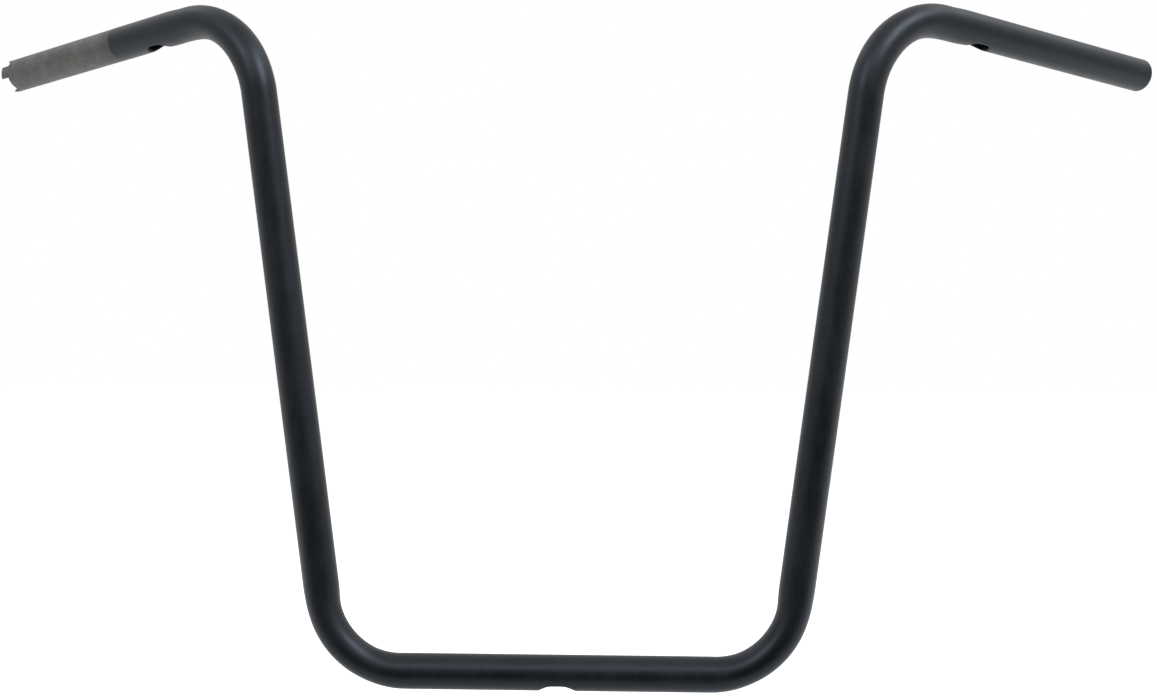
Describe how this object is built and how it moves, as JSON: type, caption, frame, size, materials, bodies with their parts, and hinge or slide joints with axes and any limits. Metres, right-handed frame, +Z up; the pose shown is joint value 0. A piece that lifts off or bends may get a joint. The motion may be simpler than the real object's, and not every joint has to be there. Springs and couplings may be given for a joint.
{
  "type": "touring handlebar",
  "caption": "Tall one-piece motorcycle handlebar: bent steel tube in matt black, swept-back grips, bare notched throttle end and wiring slots.",
  "frame": {"origin": "middle of the clamp section, on the tube's axis", "axes": "+X to the rider's left hand, +Y back towards the rider, +Z up; the uprights stand in the XZ plane"},
  "size_m": [0.9204, 0.1805, 0.4951],
  "materials": {
    "powder_coat": "matt black powder coat on steel tube, with the throttle grip left as bare grey steel for about 135 mm"
  },
  "bodies": {
    "root": {"handlebar": "powder_coat"}
  },
  "joints": []
}
